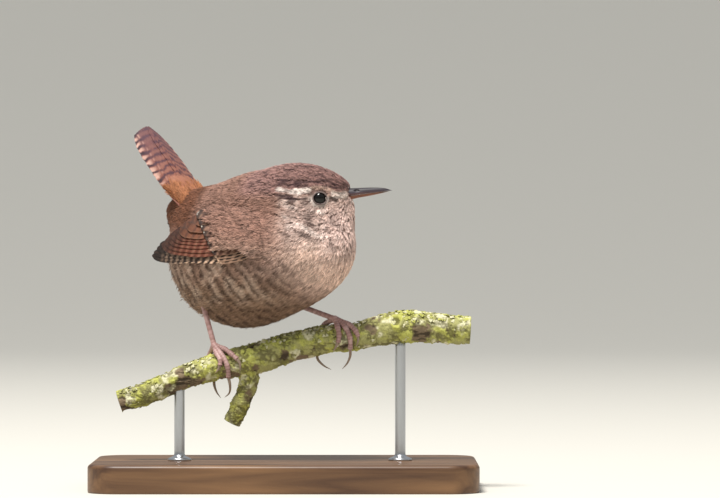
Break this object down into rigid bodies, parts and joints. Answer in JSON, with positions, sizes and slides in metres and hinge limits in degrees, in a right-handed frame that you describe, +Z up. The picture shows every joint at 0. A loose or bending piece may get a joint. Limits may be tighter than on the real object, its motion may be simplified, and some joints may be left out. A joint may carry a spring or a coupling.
{
  "type": "wren",
  "caption": "Still life-size model of a small brown wren with cocked tail, gripping a short cut branch held over a flat wooden base by two short rods.",
  "frame": {"origin": "middle of the underside of the stand's base", "axes": "+Z up, +X the way the bird's bill points, +Y away from the side of the bird that the picture shows"},
  "size_m": [0.11, 0.061, 0.1041],
  "materials": {
    "plumage": "soft brown body plumage, streaked and finely barred",
    "wing_feathers": "rusty flight feathers barred with dark brown",
    "tail_feathers": "rufous tail feathers with dark bars",
    "dark_horn": "dark horn of the upper mandible",
    "pale_horn": "paler horn of the lower mandible",
    "eye": "wet near-black eye",
    "leg_scales": "pinkish scaled skin",
    "claw_horn": "greyish translucent claw horn",
    "bark": "bark crusted with yellow-green lichen",
    "base_wood": "oiled, bevelled hardwood",
    "rod_steel": "brushed steel rod"
  },
  "bodies": {
    "root": {"torso": "plumage", "neck": "plumage", "head": "plumage", "bill_upper": "dark_horn", "bill_lower": "pale_horn", "wing_right": "wing_feathers", "wing_left": "wing_feathers", "tail": "tail_feathers", "eye_right": "eye", "eye_left": "eye", "leg_right": "leg_scales", "leg_left": "leg_scales", "foot_right": "leg_scales", "foot_left": "leg_scales", "perch": "bark", "perch_twig": "bark", "stand_base": "base_wood", "stand_rod_left": "rod_steel", "stand_rod_right": "rod_steel", "claw_right_inner": "claw_horn", "claw_right_middle": "claw_horn", "claw_right_outer": "claw_horn", "claw_right_hind": "claw_horn", "claw_left_inner": "claw_horn", "claw_left_middle": "claw_horn", "claw_left_outer": "claw_horn", "claw_left_hind": "claw_horn"}
  },
  "joints": []
}
